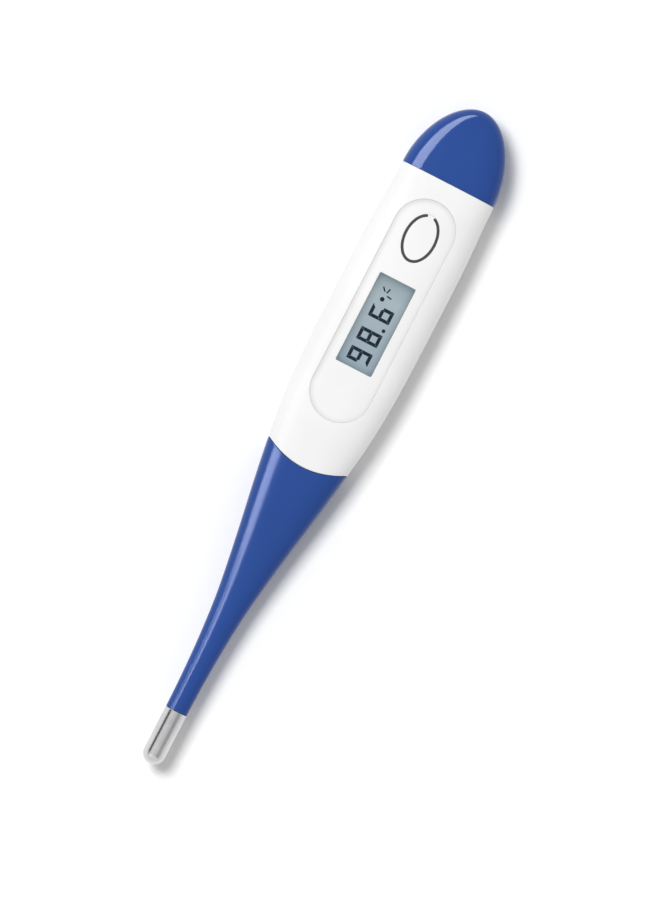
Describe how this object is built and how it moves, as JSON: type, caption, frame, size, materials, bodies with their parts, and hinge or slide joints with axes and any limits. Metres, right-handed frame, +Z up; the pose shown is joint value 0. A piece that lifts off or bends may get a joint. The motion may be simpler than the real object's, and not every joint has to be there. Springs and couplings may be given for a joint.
{
  "type": "digital thermometer",
  "caption": "Flexible-tip digital clinical thermometer with a display, an oval power key, a pull-off battery cover and a steel sensor tip.",
  "frame": {"origin": "on the resting surface, under the middle of the overall length", "axes": "+X from the sensor tip towards the battery cover, +Z up out of the display"},
  "size_m": [0.132, 0.0194, 0.0116],
  "materials": {
    "white_plastic": "fine satin moulded white ABS",
    "white_panel": "satin white printed front panel",
    "white_key": "satin white key",
    "clear_window": "clear polished display lens",
    "blue_plastic": "glossy royal blue moulded cover",
    "blue_stem": "soft royal blue elastomer with a smooth sheen",
    "stainless_steel": "drawn and polished stainless steel cup",
    "display_glass": "blue-grey liquid crystal display with dark segments",
    "frame_plastic": "white display holder",
    "tray_plastic": "natural ABS carrier tray",
    "board_green": "green solder mask",
    "strip_rubber": "conductive rubber strip",
    "seal_rubber": "black sealing ring",
    "switch_black": "black moulded component",
    "resin_black": "cast black resin",
    "tin_plate": "drawn metal can",
    "buzzer_brass": "brass disc with ceramic element",
    "ceramic_beige": "beige ceramic chip with tinned ends",
    "spring_steel": "nickel plated spring strip",
    "cell_steel": "nickel plated button cell",
    "epoxy": "amber potting resin",
    "wire_red": "red enamelled lead",
    "wire_black": "black enamelled lead"
  },
  "bodies": {
    "handle": {"housing": "white_plastic", "front_panel": "white_panel", "display_window": "clear_window", "cover_seal": "seal_rubber", "stem_root": "blue_stem", "lead_wire_left": "wire_red", "lead_wire_right": "wire_black"},
    "key": {"power_button": "white_key"},
    "cover": {"battery_cover": "blue_plastic"},
    "tray": {"carrier_tray": "tray_plastic", "circuit_board": "board_green", "display_glass": "display_glass", "display_frame": "frame_plastic", "contact_strip_left": "strip_rubber", "contact_strip_right": "strip_rubber", "key_switch": "switch_black", "controller_chip": "resin_black", "timing_crystal": "tin_plate", "piezo_buzzer": "buzzer_brass", "capacitor": "ceramic_beige", "resistor": "switch_black", "negative_contact": "spring_steel", "positive_contact": "spring_steel", "button_cell": "cell_steel"},
    "stem_1": {"stem_link_1": "blue_stem"},
    "stem_2": {"stem_link_2": "blue_stem"},
    "stem_3": {"stem_link_3": "blue_stem"},
    "stem_4": {"stem_link_4": "blue_stem"},
    "stem_5": {"stem_link_5": "blue_stem", "sensor_tip": "stainless_steel", "thermistor": "resin_black", "tip_filler": "epoxy"}
  },
  "joints": [
    {"name": "key_press", "type": "slide", "parent": "handle", "child": "key", "axis": [0, 0, -1], "range_m": [0, 0.0004], "stiffness_N_per_m": 2000},
    {"name": "cover_pull", "type": "slide", "parent": "handle", "child": "cover", "axis": [1, 0, 0], "range_m": [0, 0.03]},
    {"name": "tray_pull", "type": "slide", "parent": "handle", "child": "tray", "axis": [1, 0, 0], "range_m": [0, 0.008]},
    {"name": "stem_bend_1", "type": "hinge", "parent": "handle", "child": "stem_1", "pos_m": [-0.018, 0, 0.0058], "axis": [0, 1, 0], "range_deg": [-15, 15], "stiffness_Nm_per_rad": 0.03, "deforming": ["lead_wire_left", "lead_wire_right"]},
    {"name": "stem_bend_2", "type": "hinge", "parent": "stem_1", "child": "stem_2", "pos_m": [-0.0245, 0, 0.0058], "axis": [0, 1, 0], "range_deg": [-15, 15], "stiffness_Nm_per_rad": 0.03},
    {"name": "stem_bend_3", "type": "hinge", "parent": "stem_2", "child": "stem_3", "pos_m": [-0.031, 0, 0.0058], "axis": [0, 1, 0], "range_deg": [-15, 15], "stiffness_Nm_per_rad": 0.03},
    {"name": "stem_bend_4", "type": "hinge", "parent": "stem_3", "child": "stem_4", "pos_m": [-0.0375, 0, 0.0058], "axis": [0, 1, 0], "range_deg": [-15, 15], "stiffness_Nm_per_rad": 0.03},
    {"name": "stem_bend_5", "type": "hinge", "parent": "stem_4", "child": "stem_5", "pos_m": [-0.044, 0, 0.0058], "axis": [0, 1, 0], "range_deg": [-15, 15], "stiffness_Nm_per_rad": 0.03}
  ],
  "couplings": [
    {"joint": "tray_pull", "follows": "cover_pull", "ratio": 0.2666},
    {"joint": "stem_bend_2", "follows": "stem_bend_1", "ratio": 1},
    {"joint": "stem_bend_3", "follows": "stem_bend_1", "ratio": 1},
    {"joint": "stem_bend_4", "follows": "stem_bend_1", "ratio": 1},
    {"joint": "stem_bend_5", "follows": "stem_bend_1", "ratio": 1}
  ]
}
